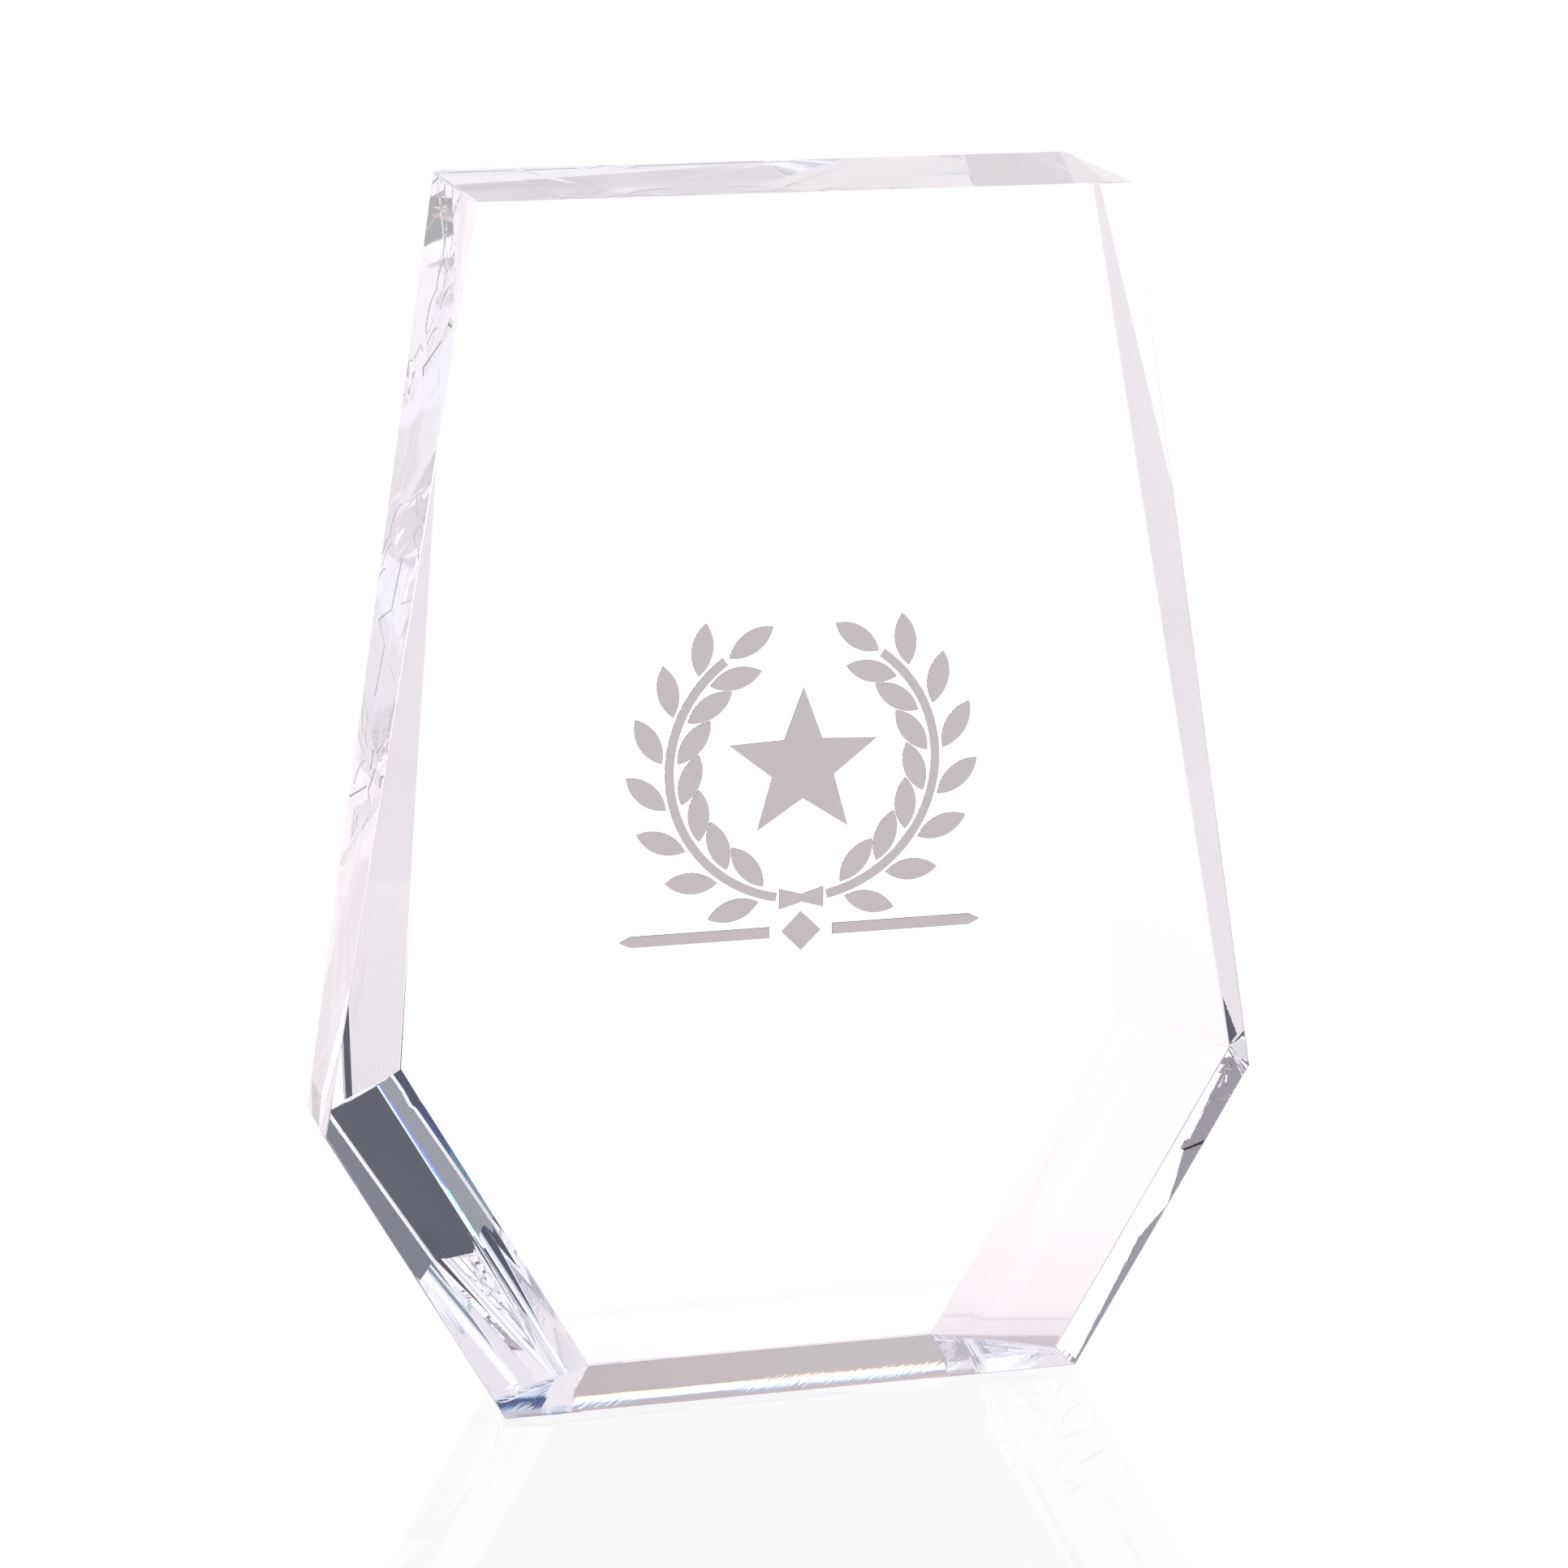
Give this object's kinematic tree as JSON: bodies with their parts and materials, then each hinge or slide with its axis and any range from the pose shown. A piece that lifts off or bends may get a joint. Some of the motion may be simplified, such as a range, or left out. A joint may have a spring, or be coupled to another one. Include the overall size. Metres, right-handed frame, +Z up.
{
  "type": "crystal award",
  "caption": "Clear cut award block with a hexagonal front, bevelled back edges and a grey star-and-wreath emblem, standing on its flat end.",
  "frame": {"origin": "centre of the flat bottom end's box, on the surface the block stands on", "axes": "+Z up; X across the front; the front face looks towards -Y and the bevelled back towards +Y"},
  "size_m": [0.119, 0.0254, 0.1524],
  "materials": {
    "clear_block": "polished",
    "grey_fill": "matte"
  },
  "bodies": {
    "root": {"block": "clear_block", "star_fill": "grey_fill", "laurel_left_stem_fill": "grey_fill", "laurel_left_leaves_fill": "grey_fill", "laurel_right_stem_fill": "grey_fill", "laurel_right_leaves_fill": "grey_fill", "laurel_tie_fill": "grey_fill", "rule_left_fill": "grey_fill", "rule_lozenge_fill": "grey_fill", "rule_right_fill": "grey_fill"}
  },
  "joints": []
}
